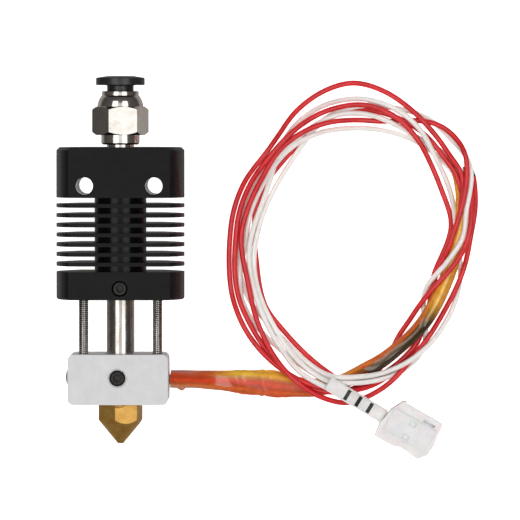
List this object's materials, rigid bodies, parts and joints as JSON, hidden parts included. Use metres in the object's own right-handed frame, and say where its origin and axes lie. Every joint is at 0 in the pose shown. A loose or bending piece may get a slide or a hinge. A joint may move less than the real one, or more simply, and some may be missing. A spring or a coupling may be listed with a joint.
{
  "type": "hotend assembly",
  "caption": "Filament hotend with finned black heatsink, push-fit coupler, heater block and brass nozzle, its leads coiled beside it and ending in a white plug.",
  "frame": {"origin": "midway between the two mounting holes, on the heatsink's back flat", "axes": "+Y along the filament axis towards the push-fit coupler, +Z out of the heatsink's front flat, -Z out of the back flat that bolts to the carriage"},
  "size_m": [0.0858, 0.0781, 0.018],
  "materials": {
    "black_anodised": "satin black anodising",
    "nickel_plate": "bright nickel plating, slightly warm",
    "black_plastic": "semi-gloss moulded black plastic",
    "black_oxide": "black oxide on steel",
    "bright_steel": "machined bright steel",
    "seal_rubber": "matte black rubber",
    "ptfe": "waxy white PTFE",
    "brass": "turned bright brass",
    "blasted_aluminium": "bead-blasted aluminium",
    "glass_bead": "amber glass bead",
    "red_insulation": "smooth red silicone-like insulation",
    "white_insulation": "smooth warm white insulation",
    "polyimide_film": "wrinkled amber polyimide film",
    "label_sleeve": null,
    "white_nylon": "translucent white nylon"
  },
  "bodies": {
    "hotend": {"block_set_screw": "black_oxide", "cartridge_set_screw": "black_oxide", "connector_housing": "white_nylon", "connector_terminal_a": "brass", "connector_terminal_b": "brass", "fitting_body": "nickel_plate", "fitting_grip_ring": "bright_steel", "fitting_o_ring": "seal_rubber", "harness_sleeve": "polyimide_film", "heat_break": "bright_steel", "heater_block": "blasted_aluminium", "heater_cartridge": "bright_steel", "heater_lead_ferrule_a": "bright_steel", "heater_lead_ferrule_b": "bright_steel", "heater_wire_a": "red_insulation", "heater_wire_b": "red_insulation", "heatsink": "black_anodised", "heatsink_set_screw": "black_oxide", "label_sleeve": "label_sleeve", "nozzle": "brass", "ptfe_liner": "ptfe", "spacer_screw_left": "bright_steel", "spacer_screw_right": "bright_steel", "thermistor_bead": "glass_bead", "thermistor_wire_a": "white_insulation", "thermistor_wire_b": "white_insulation"},
    "collet": {"release_collet": "black_plastic"}
  },
  "joints": [
    {"name": "collet_press", "type": "slide", "parent": "hotend", "child": "collet", "axis": [0, -1, 0], "range_m": [0, 0.0009], "stiffness_N_per_m": 200}
  ]
}
